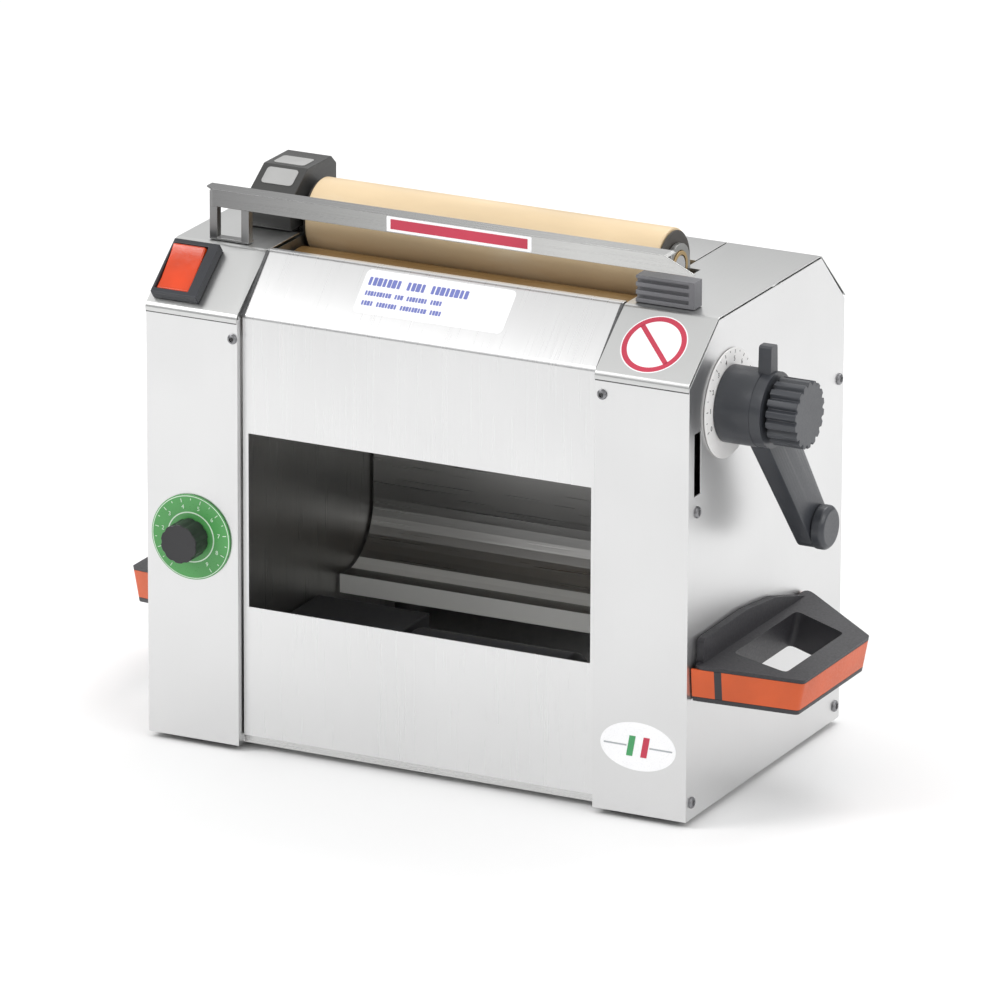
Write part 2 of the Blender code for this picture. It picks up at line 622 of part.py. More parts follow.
def make_lever():
    """Hub, pointer tab and cranked arm moulded in one piece, with a round grip on the end."""
    centre = Vector(centre_yz(LEVER_AXIS))
    end = centre + Vector((math.sin(LEVER_LEAN), -math.cos(LEVER_LEAN))) * LEVER_LENGTH
    hub = rod(LEVER_AXIS, HUB_RADIUS, *HUB_X, 64)
    collar = rod(LEVER_AXIS, HUB_RADIUS - 0.0005, HUB_X[1] - 0.003, COLLAR_X, 64)
    tab = rounded([(centre.x - 0.007, centre.y + 0.01), (centre.x + 0.007, centre.y + 0.01),
                   (centre.x + 0.0055, centre.y + 0.0525), (centre.x - 0.0055, centre.y + 0.0525)], 0.003)
    body = join(hub, collar, cranked_arm(centre, end), prism(tab, 0.2690, 0.2800, "x"))
    body = cut(body, rod(LEVER_AXIS, LEVER_SHAFT_RADIUS + GAP, 0.20, 0.40, 32))
    place(body, "thickness_lever", "lever_plastic", LEVER_AXIS, smooth=True)
    edge = 0.003
    profile = [(GRIP_X[0], 0.0), (GRIP_X[0], GRIP_RADIUS), (GRIP_X[1] - edge, GRIP_RADIUS),
               (GRIP_X[1], GRIP_RADIUS - edge), (GRIP_X[1], 0.0)]
    grip_axis = (0.0, end.x, end.y)
    place(solid_turned(grip_axis, profile, 40), "lever_grip", "lever_plastic", LEVER_AXIS, smooth=True)


def make_lock_knob():
    """Fluted knob on the shaft's threaded end."""
    points = []
    steps = KNOB_FLUTES * 8
    for i in range(steps):
        angle = 2 * math.pi * i / steps
        radius = 0.0272 - 0.0032 * max(0.0, math.cos(KNOB_FLUTES * angle))
        points.append((LEVER_AXIS.y + radius * math.cos(angle), LEVER_AXIS.z + radius * math.sin(angle)))
    knob = join(prism(points, *KNOB_X, "x"), rod(LEVER_AXIS, 0.016, COLLAR_X + GAP, KNOB_X[0] + 0.002, 40))
    knob = cut(knob, rod(LEVER_AXIS, LEVER_SHAFT_RADIUS + GAP, 0.27, 0.3035, 32))
    place(knob, "lock_knob", "lever_plastic", LEVER_AXIS, smooth=True)


def make_lever_shaft():
    shaft = rod(LEVER_AXIS, LEVER_SHAFT_RADIUS, -0.1700, 0.3030, 32)
    place(shaft, "lever_shaft", "ground_steel", LEVER_AXIS, smooth=True)


def make_scale_disc():
    inner, low_x, high_x = 0.0095, CASE_WIDTH / 2 + GAP, CASE_WIDTH / 2 + 0.0020
    profile = [(low_x, inner), (low_x, SCALE_RADIUS), (high_x, SCALE_RADIUS), (high_x, inner)]
    place(turned(LEVER_AXIS, profile, 64), "scale_disc", "scale_white", LEVER_AXIS, smooth=True)


# ---------------------------------------------------------------- controls on the left column
def make_switch():
    """Rocker switch: bezel with its body through the slope, and the rocker in it."""
    collar = switch_prism(0.0, GAP, 0.0090)
    body = switch_prism(-0.0015, -0.024, 0.002)
    collar = join(collar, body)
    wall, slack = 0.0045, 0.0005
    pocket_x = (ROCKER_X[0] - slack - wall, ROCKER_X[1] + slack + wall)
    pocket = switch_prism(-wall, -0.0040, 0.02, sides=pocket_x)
    place(cut(collar, pocket), "switch_collar", "black_plastic")
    middle = (SWITCH_ALONG[0] + SWITCH_ALONG[1]) / 2
    half = [(0.0170, -0.0022), (0.0214, 0.0005), (0.0207, 0.0050), (0.0108, 0.0036)]
    face = half + [(-s, h) for s, h in reversed(half)]
    turn = Matrix.Rotation(ROCKER_TILT, 2)
    outline = []
    for point in face:
        s, h = turn @ Vector(point)
        outline.append(slope_frame(middle + s, ROCKER_PIVOT_HEIGHT + h))
    pivot = slope_frame(middle, ROCKER_PIVOT_HEIGHT)
    place(prism(outline, *ROCKER_X, "x"), "switch_rocker", "rocker_orange", (sum(ROCKER_X) / 2, *pivot))


def make_dial():
    x, z = DIAL_CENTRE
    disc = prism(circle((x, z), DIAL_RADIUS, 64), -0.0019, -GAP, "y")
    disc = cut(disc, prism(circle((x, z), 0.005, 24), -0.02, 0.02, "y"))
    place(disc, "dial_plate", "dial_green", (x, 0.0, z), smooth=True)
    flutes, steps = 10, 80
    points = []
    for i in range(steps):
        angle = 2 * math.pi * i / steps
        radius = SPEED_KNOB_RADIUS - 0.0008 * max(0.0, math.cos(flutes * angle))
        points.append((x + radius * math.cos(angle), z + radius * math.sin(angle)))
    knob = prism(points, -0.0230, -0.0024, "y")
    knob = cut(knob, prism(circle((x, z), 0.0034, 24), -0.0150, 0.0, "y"))
    place(knob, "speed_knob", "black_plastic", (x, 0.0, z), smooth=True)
    stem = join(prism(circle((x, z), 0.0030, 24), -0.0145, 0.0035, "y"),
                prism(circle((x, z), 0.0120, 32), 0.0030, 0.0170, "y"))
    place(stem, "speed_potentiometer", "cast_aluminium", (x, 0.0, z), smooth=True)


# ---------------------------------------------------------------- guard over the feed slot
def make_guard():
    """Folded strip in front of the nip, its left bracket and its right block."""
    path = [(STRIP_Y, STRIP_Z[0]), (STRIP_Y, STRIP_Z[1]), (STRIP_Y + 0.016, STRIP_Z[1])]
    strip = prism(sheet_outline(path, -SHEET), -0.218, 0.217, "x")
    end_cut = [(0.185, 0.4475), (0.2300, 0.4475), (0.2300, 0.4325), (0.2175, 0.4325)]
    corner = rounded([(-0.230, STRIP_Y - 0.01), (-0.196, STRIP_Y - 0.01), (-0.230, STRIP_Y + 0.016)], 0.001)
    strip = cut(strip, prism(end_cut, 0.04, 0.09, "y"), prism(corner, 0.40, 0.46, "z"))
    place(strip, "guard_strip", "stainless_sheet")
    legs = []
    foot_z, leg_top = TOP_HEIGHT + GAP, STRIP_Z[1] - SHEET - GAP
    for x in (-0.2095, -0.1810):
        legs.append(block((x - 0.0035, 0.0570, foot_z), (x + 0.0035, 0.0640, leg_top)))
    bridge = block((-0.2130, 0.0600, STRIP_Z[0] + 0.002), (-0.1775, 0.0620, leg_top))
    foot = block((-0.2130, 0.0570, foot_z), (-0.1775, 0.0660, foot_z + 0.0020))
    place(join(legs[0], legs[1], bridge, foot), "guard_bracket_left", "plate_steel")
    low, high = GUARD_BLOCK
    grooves = []
    for i in range(3):
        z = low.z + 0.0035 + 0.0065 * i
        grooves.append(block((low.x - 0.01, low.y - 0.01, z), (high.x - 0.005, low.y + 0.003, z + 0.003)))
    body = block(low, high)
    place(cut(body, *grooves), "guard_block_right", "grey_plastic")


def make_gear_cover():
    """Black housing over the part of the roller gear that stands out of the top."""
    bottom, slot = TOP_HEIGHT + GAP, BUSH_RADIUS + 0.0015
    outer = rounded([(0.1035, bottom), (0.1825, bottom), (0.1825, 0.4400), (0.1740, 0.4475),
                     (0.1330, 0.4475), (0.1035, 0.4280)], 0.0015, 2)
    inner = [(0.1060, 0.39), (0.1800, 0.39), (0.1800, 0.4390), (0.1730, 0.4452), (0.1340, 0.4452),
             (0.1060, 0.4265)]
    cover = cut(prism(outer, -0.2040, -0.1640, "x"), prism(inner, -0.2015, -0.1665, "x"),
                block((-0.1700, REAR_AXIS.y - slot, 0.39), (-0.1600, REAR_AXIS.y + slot, REAR_AXIS.z)),
                rod(REAR_AXIS, slot, -0.1700, -0.1600))
    place(cover, "gear_cover", "black_plastic")


# ---------------------------------------------------------------- carrying handles
def handle_outline(start, inset):
    """Plan of the loop as (reach, distance along the panel), begun at the given reach."""
    front, rear = HANDLE_SPAN
    slope = HANDLE_FLARE / HANDLE_REACH
    reach, drawn_in = HANDLE_REACH - inset, HANDLE_FLARE + inset * 0.5
    return [(start, front + slope * start + inset), (reach, front + drawn_in), (reach, rear - drawn_in),
            (start, rear - slope * start - inset)]


def loop_prism(outline, low, high, radius):
    return prism(rounded(outline, radius), low, high, "z")


def make_handle(name, side, back, drop):
    """Flange on the panel, trapezoid loop that dips outward, and the coloured band let into it."""
    x_side = CASE_WIDTH / 2
    front, rear = HANDLE_SPAN
    body = loop_prism(handle_outline(-0.004, 0.0), 0.0, HANDLE_HEIGHT, 0.006)
    hole = [(HOLE_START, front + HOLE_MARGIN), (HANDLE_REACH - HANDLE_BAR, front + HANDLE_FLARE + 0.003),
            (HANDLE_REACH - HANDLE_BAR, rear - HANDLE_FLARE - 0.012), (HOLE_START, rear - HOLE_MARGIN)]
    body = cut(body, loop_prism(hole, -0.01, 0.05, 0.005))
    depth, low, high, start, fit = 0.0022, 0.0035, HANDLE_HEIGHT - 0.0030, -0.012, 0.0003
    ring_outer = prism(handle_outline(start, -0.006), low, high, "z")
    ring_inner = loop_prism(handle_outline(start, depth), low - 0.001, high + 0.001, 0.004)
    body = cut(body, cut(ring_outer, ring_inner))
    band_outer = loop_prism(handle_outline(start, 0.0), low + fit, high - fit, 0.006)
    band_inner = loop_prism(handle_outline(start, depth - fit), low, high, 0.004)
    band = cut(band_outer, band_inner)
    tilt = Matrix.Translation((x_side, 0.0, HANDLE_BOTTOM)) @ Matrix.Rotation(HANDLE_TILT, 4, "Y")
    trimmed = []
    for mesh in (body, band):
        mesh.transform(tilt)
        trimmed.append(cut(mesh, block((0.0, -0.1, -0.1), (x_side + 0.0010, 0.5, 0.5))))
    ahead, behind, foot = front + 0.0085, rear - 0.0085, 0.1020
    flange = [(ahead, foot), (ahead, 0.1490), (0.095, 0.1500), (0.150, 0.1440), (behind, 0.1280),
              (behind, foot)]
    plate = prism(rounded(flange, 0.004), x_side + GAP, x_side + 0.0070, "x")
    shift = Matrix.Translation((0.0, back, -drop))
    if side < 0:
        shift = shift @ Matrix.Scale(-1.0, 4, (1.0, 0.0, 0.0))
    pieces = (("body", join(plate, trimmed[0]), "black_plastic"), ("band", trimmed[1], "orange_plastic"))
    for label, mesh, material in pieces:
        mesh.transform(shift)
        if side < 0:
            mesh.flip_normals()
        place(mesh, "handle_%s_%s" % (label, name), material)


# ---------------------------------------------------------------- small outside pieces
def make_gland():
    x, z = GLAND_CENTRE
    nut = prism(circle((x, z), 0.0125, 6), CASE_DEPTH + GAP, CASE_DEPTH + 0.0080, "y")
    neck = prism(circle((x, z), 0.0080, 32), CASE_DEPTH - 0.0120, CASE_DEPTH + GLAND_REACH, "y")
    mouth = prism(circle((x, z), 0.0038, 24), CASE_DEPTH + GLAND_REACH - 0.003, CASE_DEPTH + 0.03, "y")
    gland = cut(join(nut, neck), mouth)
    place(gland, "cable_gland", "black_plastic", (x, CASE_DEPTH, z), smooth=True)


def build():
    """Make every piece of the machine, casing first."""
    make_base_tray()
    make_feet()
    make_front_panel()
    make_rear_panel()
    make_rear_hood()
    make_exit_chute()
    for name, side in SIDES:
        make_bearing_plate("bearing_plate_" + name, side)
        make_side_shell("side_shell_" + name, side)
        make_top_cap("top_cap_" + name, side)
        make_slide_block("slide_block_" + name, side)
        make_bush("bush_rear_" + name, REAR_AXIS, side, 0.1580, 0.1635)
        make_bush("bush_front_" + name, FRONT_AXIS, side, 0.1585, 0.1695)
        make_cam("cam_" + name, side)
    make_roller("roller_front", FRONT_AXIS)
    make_roller("roller_rear", REAR_AXIS)
    make_shaft("shaft_front", FRONT_AXIS, -0.1825, 0.1700)
    make_shaft("shaft_rear", REAR_AXIS, -0.1920, 0.1630)
    make_roller_gears()
    make_sprockets()
    make_chain()
    make_motor()
    make_scrapers()
    make_lever_shaft()
    make_lever()
    make_lock_knob()
    make_scale_disc()
    make_switch()
    make_dial()
    make_guard()
    make_gear_cover()
    make_handle("right", 1, 0.0, 0.0)
    make_handle("left", -1, LEFT_HANDLE_SET_BACK, LEFT_HANDLE_DROP)
    make_gland()


build()
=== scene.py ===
import json
import math

import bmesh
import bpy
from mathutils import Matrix, Vector

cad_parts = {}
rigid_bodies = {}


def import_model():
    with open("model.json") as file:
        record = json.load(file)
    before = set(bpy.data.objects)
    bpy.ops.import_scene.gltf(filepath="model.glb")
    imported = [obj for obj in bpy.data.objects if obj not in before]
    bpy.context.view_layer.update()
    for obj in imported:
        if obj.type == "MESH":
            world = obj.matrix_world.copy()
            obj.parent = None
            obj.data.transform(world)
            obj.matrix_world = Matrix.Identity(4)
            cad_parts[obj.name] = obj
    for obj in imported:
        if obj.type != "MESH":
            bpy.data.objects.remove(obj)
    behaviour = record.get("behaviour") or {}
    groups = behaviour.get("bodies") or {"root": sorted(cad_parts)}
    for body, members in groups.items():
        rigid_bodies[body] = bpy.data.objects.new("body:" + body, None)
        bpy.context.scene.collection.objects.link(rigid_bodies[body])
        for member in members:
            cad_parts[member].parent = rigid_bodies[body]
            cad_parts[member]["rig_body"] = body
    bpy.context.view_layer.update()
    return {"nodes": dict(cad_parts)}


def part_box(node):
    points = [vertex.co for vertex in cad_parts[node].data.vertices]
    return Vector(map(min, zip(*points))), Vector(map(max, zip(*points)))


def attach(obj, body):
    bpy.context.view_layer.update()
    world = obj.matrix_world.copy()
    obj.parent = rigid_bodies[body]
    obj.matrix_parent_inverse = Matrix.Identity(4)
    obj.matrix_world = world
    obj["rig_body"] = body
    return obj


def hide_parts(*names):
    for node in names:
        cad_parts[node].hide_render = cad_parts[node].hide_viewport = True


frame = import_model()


# ------------------------------------------------------------------ camera, light and floor
# A long lens far off to the right of the front, a little above the machine, as for a catalogue
# shot. White surroundings with a soft key from the left front and a broad fill from the right.
AZIMUTH, ELEVATION, ROLL = math.radians(26.6), math.radians(18.1), math.radians(0.2255)
back = Vector((math.sin(AZIMUTH) * math.cos(ELEVATION), -math.cos(AZIMUTH) * math.cos(ELEVATION),
               math.sin(ELEVATION)))
level = Vector((math.cos(AZIMUTH), math.sin(AZIMUTH), 0.0))
right = level * math.cos(ROLL) + back.cross(level) * math.sin(ROLL)
aim, distance = Vector((0.0038, 0.0, 0.1955)), 8.6077
lens = bpy.data.cameras.new("catalogue_camera")
lens.sensor_width, lens.lens, lens.clip_end = 36.0, 386.27, 60.0
camera = bpy.data.objects.new("catalogue_camera", lens)
axes = Matrix((right, back.cross(right), back)).transposed().to_4x4()
camera.matrix_world = Matrix.Translation(aim + back * distance) @ axes
bpy.context.scene.collection.objects.link(camera)
bpy.context.scene.camera = camera
bpy.context.scene.view_settings.view_transform = "Standard"


def softbox(name, place, target, size, power):
    lamp = bpy.data.lights.new(name, "AREA")
    lamp.shape, lamp.size, lamp.size_y, lamp.energy = "RECTANGLE", size[0], size[1], power
    box = bpy.data.objects.new(name, lamp)
    box.location = place
    box.rotation_euler = (Vector(target) - Vector(place)).to_track_quat("-Z", "Y").to_euler()
    bpy.context.scene.collection.objects.link(box)


middle = Vector((0.0, 0.0, 0.22))
softbox("key_left_front", (-2.2, -1.8, 2.4), middle, (1.4, 1.4), 46.0)
softbox("fill_right", (2.6, -0.2, 1.7), middle, (1.2, 1.2), 14.0)
softbox("top_sheet", (0.3, 1.5, 2.4), middle, (1.6, 1.0), 20.0)

world = bpy.data.worlds.new("white_studio")
world.use_nodes = True
sky, links = world.node_tree.nodes, world.node_tree.links
bearing = sky.new("ShaderNodeTexCoord")
split = sky.new("ShaderNodeSeparateXYZ")
links.new(bearing.outputs["Generated"], split.inputs[0])
height = sky.new("ShaderNodeValToRGB")
height.color_ramp.elements[0].position, height.color_ramp.elements[0].color = 0.05, (0.10, 0.104, 0.108, 1)
height.color_ramp.elements[1].position, height.color_ramp.elements[1].color = 0.32, (1.05, 1.05, 1.05, 1)
zenith = height.color_ramp.elements.new(0.80)
zenith.color = (1.0, 1.0, 1.0, 1)
links.new(split.outputs["Z"], height.inputs["Fac"])
links.new(height.outputs["Color"], sky["Background"].inputs["Color"])
sky["Background"].inputs["Strength"].default_value = 0.95
bpy.context.scene.world = world

bm = bmesh.new()
bmesh.ops.create_grid(bm, x_segments=1, y_segments=1, size=9.0)
floor_mesh = bpy.data.meshes.new("studio_floor")
bm.to_mesh(floor_mesh)
bm.free()
floor = bpy.data.objects.new("studio_floor", floor_mesh)
bpy.context.scene.collection.objects.link(floor)
floor_paint = bpy.data.materials.new("floor_paint")
floor_paint.use_nodes = True
floor_shader = floor_paint.node_tree.nodes["Principled BSDF"]
floor_shader.inputs["Base Color"].default_value = (0.90, 0.90, 0.90, 1)
floor_shader.inputs["Roughness"].default_value = 0.75
floor_mesh.materials.append(floor_paint)


# ------------------------------------------------------------------ stainless sheet casing
# Front panel, side shells, column caps, rear panel, hood, chute, tray and guard strip. All are
# 1 to 1.5 mm satin stainless sheet with an upright grain, laser cut, folded and screwed together.
def nodes_of(material):
    material.use_nodes = True
    tree = material.node_tree
    return tree, tree.nodes["Principled BSDF"]


def noise(tree, scale, detail=3.0, stretch=(1.0, 1.0, 1.0), where="Object"):
    """Noise in metres that can be drawn out along an axis, such as a sheet's grain."""
    spot = tree.nodes.new("ShaderNodeTexCoord")
    mapping = tree.nodes.new("ShaderNodeMapping")
    mapping.inputs["Scale"].default_value = stretch
    pattern = tree.nodes.new("ShaderNodeTexNoise")
    pattern.inputs["Scale"].default_value = scale
    pattern.inputs["Detail"].default_value = detail
    tree.links.new(spot.outputs[where], mapping.inputs["Vector"])
    tree.links.new(mapping.outputs["Vector"], pattern.inputs["Vector"])
    return pattern.outputs["Fac"]


def ramp(tree, value, *stops):
    """Colour stops over a value: (position, colour) pairs."""
    node = tree.nodes.new("ShaderNodeValToRGB")
    while len(node.color_ramp.elements) < len(stops):
        node.color_ramp.elements.new(0.5)
    for element, (position, colour) in zip(node.color_ramp.elements, stops):
        element.position = position
        element.color = (*colour, 1.0)
    tree.links.new(value, node.inputs["Fac"])
    return node.outputs["Color"]


def spread(tree, value, low, high):
    """A value from 0.3 to 0.7, spread over another range."""
    node = tree.nodes.new("ShaderNodeMapRange")
    node.inputs["From Min"].default_value, node.inputs["From Max"].default_value = 0.3, 0.7
    node.inputs["To Min"].default_value, node.inputs["To Max"].default_value = low, high
    tree.links.new(value, node.inputs["Value"])
    return node.outputs["Result"]


def bump(tree, value, strength, depth, before=None):
    node = tree.nodes.new("ShaderNodeBump")
    node.inputs["Strength"].default_value = strength
    node.inputs["Distance"].default_value = depth
    tree.links.new(value, node.inputs["Height"])
    if before is not None:
        tree.links.new(before, node.inputs["Normal"])
    return node.outputs["Normal"]


def tint(colour, by):
    return tuple(min(1.0, c * by) for c in colour)


def brushed_metal(name, colour, roughness, grain, contrast=1.0):
    """Metal with a grain: noise drawn out along it, over slow cloudy changes of sheen."""
    material = bpy.data.materials.new(name)
    tree, shader = nodes_of(material)
    shader.inputs["Metallic"].default_value = 1.0
    fine = noise(tree, 900.0, 4.0, grain)
    clouds = noise(tree, 9.0, 2.0)
    tree.links.new(ramp(tree, clouds, (0.35, tint(colour, 1.0 - 0.05 * contrast)),
                        (0.65, tint(colour, 1.0 + 0.02 * contrast))), shader.inputs["Base Color"])
    tree.links.new(spread(tree, fine, roughness - 0.05 * contrast, roughness + 0.06 * contrast),
                   shader.inputs["Roughness"])
    tree.links.new(bump(tree, fine, 0.10 * contrast, 0.00006), shader.inputs["Normal"])
    return material


UPRIGHT, LENGTHWISE, FORE_AFT = (1.0, 1.0, 0.012), (0.012, 1.0, 1.0), (1.0, 0.012, 1.0)
sheet_upright = brushed_metal("satin_sheet_upright", (0.70, 0.70, 0.70), 0.33, UPRIGHT, 0.45)
sheet_lengthwise = brushed_metal("satin_sheet_lengthwise", (0.62, 0.62, 0.615), 0.25, LENGTHWISE)
# The sloped sheet is a darker copy of the upright stainless: painted shade on the up-facing caps and hood.
sloped_shaded_sheet = brushed_metal("satin_sloped_shaded_sheet", (0.61, 0.614, 0.608), 0.30, FORE_AFT, 0.45)
sheet_middle = brushed_metal("satin_sheet_middle", (0.71, 0.71, 0.71), 0.29, (1.0, 0.012, 0.012), 0.45)
guard_sheet = brushed_metal("guard_sheet", (0.50, 0.50, 0.495), 0.24, LENGTHWISE)
guard_shade_tree = guard_sheet.node_tree      # darker towards the left: painted shade along the strip
where = guard_shade_tree.nodes.new("ShaderNodeTexCoord")
part = guard_shade_tree.nodes.new("ShaderNodeSeparateXYZ")
guard_shade_tree.links.new(where.outputs["Object"], part.inputs[0])
shade_along_x = guard_shade_tree.nodes.new("ShaderNodeMapRange")
shade_along_x.inputs["From Min"].default_value, shade_along_x.inputs["From Max"].default_value = -0.21, 0.12
guard_shade_tree.links.new(part.outputs["X"], shade_along_x.inputs["Value"])
# Painted shade: the strip's steel is darker towards its left end.
painted_shade_steel = ramp(guard_shade_tree, shade_along_x.outputs["Result"], (0.0, (0.19, 0.19, 0.19)), (0.35, (0.31, 0.31, 0.305)),
                  (1.0, (0.53, 0.53, 0.52)))
guard_shade_tree.links.new(painted_shade_steel, guard_shade_tree.nodes["Principled BSDF"].inputs["Base Color"])
chute_sheet = brushed_metal("chute_sheet", (0.47, 0.465, 0.455), 0.33, LENGTHWISE, 1.4)


def eased(node, name, material, width, segments=2, sharp=30.0, fold=0.0):
    """The node's own solid again, with its faces merged and its folds and cut edges eased."""
    source = frame["nodes"][node]
    bm = bmesh.new()
    bm.from_mesh(source.data)
    bmesh.ops.remove_doubles(bm, verts=bm.verts, dist=0.00001)
    bmesh.ops.dissolve_limit(bm, angle_limit=math.radians(0.4), verts=bm.verts, edges=bm.edges)
    if fold > 0.0:
        bends = [e for e in bm.edges if len(e.link_faces) == 2 and e.calc_length() > 0.05
                 and math.radians(25) < e.calc_face_angle() < math.radians(62)]
        bmesh.ops.bevel(bm, geom=bends, offset=fold, segments=5, profile=0.5, affect="EDGES")
    mesh = bpy.data.meshes.new(name)
    bm.to_mesh(mesh)
    bm.free()
    mesh.materials.append(material)
    mesh.shade_smooth()
    mesh.set_sharp_from_angle(angle=math.radians(sharp))
    piece = bpy.data.objects.new(name, mesh)
    bpy.context.scene.collection.objects.link(piece)
    if width > 0.0:
        edge = piece.modifiers.new("eased_edges", "BEVEL")
        edge.width, edge.segments, edge.limit_method = width, segments, "ANGLE"
        edge.angle_limit = math.radians(sharp)
        edge.harden_normals = True
    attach(piece, source["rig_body"])
    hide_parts(node)
    return piece


for node, sheet, width in (("front_panel", sheet_middle, 0.0010), ("side_shell_left", sheet_upright, 0.0006),
                           ("side_shell_right", sheet_upright, 0.0006), ("rear_panel", sheet_upright, 0.0005),
                           ("top_cap_left", sloped_shaded_sheet, 0.0004), ("top_cap_right", sloped_shaded_sheet, 0.0004),
                           ("rear_hood", sloped_shaded_sheet, 0.0004),
                           ("guard_strip", guard_sheet, 0.0005), ("base_tray", sheet_lengthwise, 0.0004)):
    eased(node, node + "_sheet", sheet, width, fold=0.0025)


# ------------------------------------------------------------------ seams of the casing
# Each column cap has a flange folded down along its inner edge, and its front lip laps over the column; a
# thin dark strip under the lip is painted shadow for the gap there. A second dark strip of painted shade lies
# in the joint along each side panel.
def box_into(bm, low, high, index=0):
    corners = [bm.verts.new((x, y, z)) for z in (low[2], high[2]) for y in (low[1], high[1])
               for x in (low[0], high[0])]
    for ring in ((0, 2, 3, 1), (4, 5, 7, 6), (0, 1, 5, 4), (2, 6, 7, 3), (0, 4, 6, 2), (1, 3, 7, 5)):
        bm.faces.new([corners[i] for i in ring]).material_index = index


def collected(name, bm, materials, body="casing", smooth=30.0):
    """One finished piece from a bmesh, riding on a body."""
    bmesh.ops.recalc_face_normals(bm, faces=bm.faces)
    mesh = bpy.data.meshes.new(name)
    bm.to_mesh(mesh)
    bm.free()
    for material in materials:
        mesh.materials.append(material)
    mesh.shade_smooth()
    mesh.set_sharp_from_angle(angle=math.radians(smooth))
    piece = bpy.data.objects.new(name, mesh)
    bpy.context.scene.collection.objects.link(piece)
    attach(piece, body)
    return piece


front_y, rear_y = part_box("side_shell_right")[0].y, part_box("rear_panel")[1].y
side_x, base_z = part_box("side_shell_right")[1].x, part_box("side_shell_right")[0].z
cap_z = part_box("top_cap_right")[1].z


def row(x, y, z):
    """A point given from the front face and the casing's bottom, in the row frame."""
    return Vector((x, front_y + y, base_z + z))


def extruded(bm, outline, low_x, high_x, index=0):
    """A (y, z) outline, given like row(), carried along x."""
    ends = [[bm.verts.new(row(x, y, z)) for y, z in outline] for x in (low_x, high_x)]
    faces = [bm.faces.new(ends[0]), bm.faces.new(ends[1][::-1])]
    for i in range(len(outline)):
        j = (i + 1) % len(outline)
        faces.append(bm.faces.new((ends[0][i], ends[1][i], ends[1][j], ends[0][j])))
    for face in faces:
        face.material_index = index


# Dark strips of painted shade for the shadow gaps at the cap seams.
seam_shadow_paint = bpy.data.materials.new("painted_seam_shadow")
tree, shader = nodes_of(seam_shadow_paint)
seam_noise = noise(tree, 260.0, 3.0)
tree.links.new(ramp(tree, seam_noise, (0.3, (0.055, 0.056, 0.058)), (0.7, (0.11, 0.11, 0.112))),
               shader.inputs["Base Color"])
tree.links.new(spread(tree, seam_noise, 0.55, 0.75), shader.inputs["Roughness"])
tree.links.new(bump(tree, seam_noise, 0.4, 0.0003), shader.inputs["Normal"])
bm = bmesh.new()
for side in (-1, 1):
    inner, outer = sorted((side * 0.1586, side * 0.2398))
    box_into(bm, row(inner, -0.0009, 0.3541), row(outer, -0.0001, 0.3556))
    low_x, high_x = sorted((side * 0.1556, side * 0.1580))
    extruded(bm, [(0.0062, 0.3590), (0.0504, 0.4012), (0.0504, 0.4026), (0.0062, 0.3612)], low_x, high_x)
collected("cap_seam_shadow", bm, [seam_shadow_paint])
bm = bmesh.new()
for side in (-1, 1):
    low_x, high_x = sorted((side * 0.1581, side * 0.1590))
    flange = [(0.0010, 0.3608), (0.0510, 0.4002), (0.0580, 0.4002), (0.0580, 0.3900), (0.0120, 0.3560),
              (0.0016, 0.3580)]
    extruded(bm, flange, low_x, high_x)
collected("cap_flanges", bm, [sloped_shaded_sheet])


# ------------------------------------------------------------------ exit chute
# One long stainless sheet behind the window, press-braked in a row of narrow flats so that it
# curves forward to a down-turned lip. The lip is painted pale and matt as a painted highlight for the light
# that falls on it.
lip_painted_highlight = brushed_metal("lip_painted_highlight", (0.97, 0.97, 0.94), 0.62, LENGTHWISE, 0.8)
lip_painted_highlight.node_tree.nodes["Principled BSDF"].inputs["Metallic"].default_value = 0.15
chute = eased("exit_chute", "exit_chute_sheet", chute_sheet, 0.0, sharp=3.0)
chute.data.materials.append(lip_painted_highlight)
lip_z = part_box("exit_chute")[0].z + 0.0205
# Faces of the lip take the painted highlight.
for face in chute.data.polygons:
    if face.center.z < lip_z and face.normal.y < -0.2:
        face.material_index = 1


# ------------------------------------------------------------------ outside screws
# Stainless button-head screws with hexagon sockets. One holds each column front, four each side
# panel, two each column cap and the rest the guard bracket, bearing plates, rear panel and hood.
screw_steel = brushed_metal("screw_steel", (0.26, 0.26, 0.27), 0.32, (1.0, 1.0, 1.0))
socket_black = bpy.data.materials.new("socket_black")
socket_tree, socket_shader = nodes_of(socket_black)
socket_shader.inputs["Roughness"].default_value = 0.6
socket_tree.links.new(ramp(socket_tree, noise(socket_tree, 600.0), (0.3, (0.02, 0.02, 0.02)),
                           (0.7, (0.06, 0.06, 0.06))), socket_shader.inputs["Base Color"])


def frame_on(spot, outward, upward=(0.0, 0.0, 1.0)):
    """A frame whose z points out of a surface at a spot."""
    out = Vector(outward).normalized()
    side = Vector(upward).cross(out).normalized()
    return Matrix.Translation(spot) @ Matrix((side, out.cross(side), out)).transposed().to_4x4()


def turned_into(bm, place, profile, steps=32, index=0, sides=None):
    """Add a solid turned about the frame's z: (radius, height) points from the axis and back to it."""
    rings = []
    for radius, height in profile:
        if radius < 1e-7:
            rings.append([bm.verts.new(place @ Vector((0.0, 0.0, height)))])
            continue
        ring = []
        for i in range(steps):
            angle = 2 * math.pi * i / steps
            reach = radius
            if sides is not None:
                reach = sides(radius, height, angle)
            spot = Vector((reach * math.cos(angle), reach * math.sin(angle), height))
            ring.append(bm.verts.new(place @ spot))
        rings.append(ring)
    for a, b in zip(rings, rings[1:]):
        for i in range(steps):
            j = (i + 1) % steps
            if len(a) == 1:
                face = bm.faces.new((a[0], b[i], b[j]))
            elif len(b) == 1:
                face = bm.faces.new((a[i], a[j], b[0]))
            else:
                face = bm.faces.new((a[i], a[j], b[j], b[i]))
            face.material_index = index


